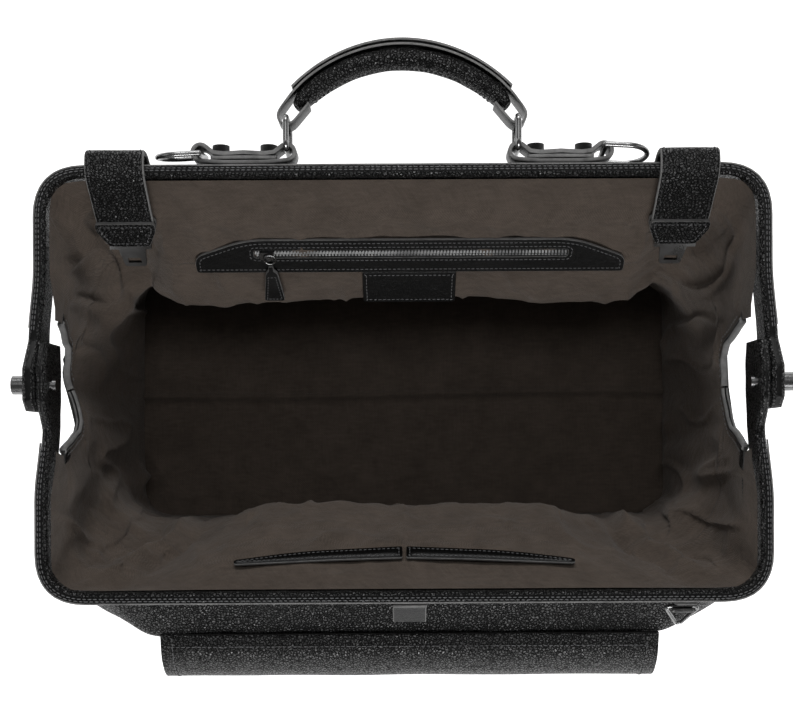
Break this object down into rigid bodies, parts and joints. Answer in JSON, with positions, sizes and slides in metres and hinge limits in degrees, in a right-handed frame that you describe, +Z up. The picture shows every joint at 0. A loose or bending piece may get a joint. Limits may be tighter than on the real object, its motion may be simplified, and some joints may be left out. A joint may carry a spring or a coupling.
{
  "type": "doctor bag",
  "caption": "Black leather doctor bag standing wide open on its hinged frame, with a handle, closing straps, cloth lining, inner zip pocket and flapped front pocket.",
  "frame": {"origin": "centre of the resting plane of the feet, under the middle of the base", "axes": "+Z up, +Y towards the back jaw and the handle, X along the bag's length and along the hinge pins' common line"},
  "size_m": [0.4486, 0.3869, 0.174],
  "materials": {
    "pebbled_leather": "black full-grain leather with a pebbled grain, soft sheen",
    "smooth_leather": "smooth black leather, raw light-grey cut edges",
    "lining_cloth": "taupe-brown twill cotton",
    "gunmetal": "dark gunmetal plating, polished",
    "black_bolts": "black oxide with knurled heads",
    "spring_steel": "flat steel bar, unseen inside its leather cover",
    "stiffener_board": "pressed fibre board, unseen",
    "grip_core": "soft rope core, unseen",
    "zip_tape": "black woven tape"
  },
  "bodies": {
    "bag_body": {"bottom_panel": "pebbled_leather", "base_board": "stiffener_board", "lining_floor": "lining_cloth", "base_feet": "gunmetal", "back_panel": "pebbled_leather", "front_panel": "pebbled_leather", "gusset_right_back": "pebbled_leather", "gusset_left_back": "pebbled_leather", "gusset_right_front": "pebbled_leather", "gusset_left_front": "pebbled_leather", "lining_back": "lining_cloth", "lining_front": "lining_cloth", "lining_right_back": "lining_cloth", "lining_left_back": "lining_cloth", "lining_right_front": "lining_cloth", "lining_left_front": "lining_cloth", "front_pocket": "pebbled_leather", "snap_base": "gunmetal"},
    "pocket_flap": {"pocket_flap": "pebbled_leather", "snap_cap": "gunmetal"},
    "back_jaw": {"back_jaw_cover": "pebbled_leather", "back_jaw_bar": "spring_steel", "hinge_pins": "gunmetal", "handle_tab_left": "smooth_leather", "handle_tab_right": "smooth_leather", "tab_bolts": "black_bolts", "strap_root_left": "pebbled_leather", "strap_root_right": "pebbled_leather", "zip_facing": "smooth_leather", "zip_tape": "zip_tape", "zip_teeth": "gunmetal", "blank_patch": "smooth_leather", "zip_pocket_bag": "lining_cloth"},
    "front_jaw": {"front_jaw_cover": "pebbled_leather", "front_jaw_bar": "spring_steel", "catch_left": "gunmetal", "catch_right": "gunmetal", "slip_welts": "smooth_leather", "slip_pocket_bag": "lining_cloth", "front_tab": "smooth_leather", "side_ring_tab": "smooth_leather"},
    "handle": {"handle_core": "grip_core", "handle_cover": "pebbled_leather", "handle_strap": "smooth_leather"},
    "zip_slider": {"zip_slider": "gunmetal", "zip_pull_ring": "gunmetal"},
    "zip_pull": {"zip_pull": "smooth_leather"},
    "side_ring": {"side_ring": "gunmetal"},
    "strap_left": {"strap_tail_left": "pebbled_leather", "strap_end_left": "pebbled_leather", "strap_tongue_left": "gunmetal"},
    "catch_button_left": {"catch_button_left": "gunmetal"},
    "handle_ring_left": {"handle_ring_left": "gunmetal"},
    "d_ring_left": {"d_ring_left": "gunmetal"},
    "strap_right": {"strap_tail_right": "pebbled_leather", "strap_end_right": "pebbled_leather", "strap_tongue_right": "gunmetal"},
    "catch_button_right": {"catch_button_right": "gunmetal"},
    "handle_ring_right": {"handle_ring_right": "gunmetal"},
    "d_ring_right": {"d_ring_right": "gunmetal"}
  },
  "joints": [
    {"name": "back_jaw_hinge", "type": "hinge", "parent": "bag_body", "child": "back_jaw", "pos_m": [0, 0, 0.165], "axis": [1, 0, 0], "range_deg": [0, 89], "deforming": ["back_panel", "gusset_right_back", "gusset_left_back", "lining_back", "lining_right_back", "lining_left_back"]},
    {"name": "front_jaw_hinge", "type": "hinge", "parent": "bag_body", "child": "front_jaw", "pos_m": [0, 0, 0.165], "axis": [-1, 0, 0], "range_deg": [0, 89], "deforming": ["front_panel", "gusset_right_front", "gusset_left_front", "lining_front", "lining_right_front", "lining_left_front"]},
    {"name": "pocket_flap_hinge", "type": "hinge", "parent": "bag_body", "child": "pocket_flap", "pos_m": [0, -0.158, 0.109], "axis": [-1, 0, 0], "range_deg": [0, 120]},
    {"name": "ring_left_swing", "type": "hinge", "parent": "back_jaw", "child": "handle_ring_left", "pos_m": [-0.067, 0.1361, 0.1535], "axis": [0, 0, 1], "range_deg": [-55, 55]},
    {"name": "ring_right_swing", "type": "hinge", "parent": "back_jaw", "child": "handle_ring_right", "pos_m": [0.067, 0.1361, 0.1535], "axis": [0, 0, 1], "range_deg": [-55, 55]},
    {"name": "handle_swing", "type": "hinge", "parent": "handle_ring_left", "child": "handle", "pos_m": [-0.067, 0.1543, 0.1535], "axis": [0, 0, 1], "range_deg": [-55, 55]},
    {"name": "zip_slide", "type": "slide", "parent": "back_jaw", "child": "zip_slider", "axis": [1, 0, 0], "range_m": [0, 0.178]},
    {"name": "side_ring_swing", "type": "hinge", "parent": "front_jaw", "child": "side_ring", "pos_m": [0.164, -0.1313, 0.148], "axis": [-1, 0, 0], "range_deg": [-40, 120]},
    {"name": "zip_pull_hinge", "type": "hinge", "parent": "zip_slider", "child": "zip_pull", "pos_m": [-0.0819, 0.07708, 0.11593], "axis": [-1, 0, 0], "range_deg": [0, 90]},
    {"name": "strap_left_bend", "type": "hinge", "parent": "back_jaw", "child": "strap_left", "pos_m": [-0.165, 0.11502, 0.166], "axis": [-1, 0, 0], "range_deg": [0, 120]},
    {"name": "d_ring_left_swing", "type": "hinge", "parent": "back_jaw", "child": "d_ring_left", "pos_m": [-0.117, 0.1347, 0.1535], "axis": [0, 0, -1], "range_deg": [0, 130]},
    {"name": "catch_button_left_press", "type": "slide", "parent": "front_jaw", "child": "catch_button_left", "axis": [0, 1, 0], "range_m": [0, 0.001], "stiffness_N_per_m": 300},
    {"name": "strap_right_bend", "type": "hinge", "parent": "back_jaw", "child": "strap_right", "pos_m": [0.165, 0.11502, 0.166], "axis": [-1, 0, 0], "range_deg": [0, 120]},
    {"name": "d_ring_right_swing", "type": "hinge", "parent": "back_jaw", "child": "d_ring_right", "pos_m": [0.117, 0.1347, 0.1535], "axis": [0, 0, 1], "range_deg": [0, 130]},
    {"name": "catch_button_right_press", "type": "slide", "parent": "front_jaw", "child": "catch_button_right", "axis": [0, 1, 0], "range_m": [0, 0.001], "stiffness_N_per_m": 300}
  ],
  "couplings": [
    {"joint": "ring_right_swing", "follows": "ring_left_swing", "ratio": 1},
    {"joint": "handle_swing", "follows": "ring_left_swing", "ratio": -1}
  ]
}
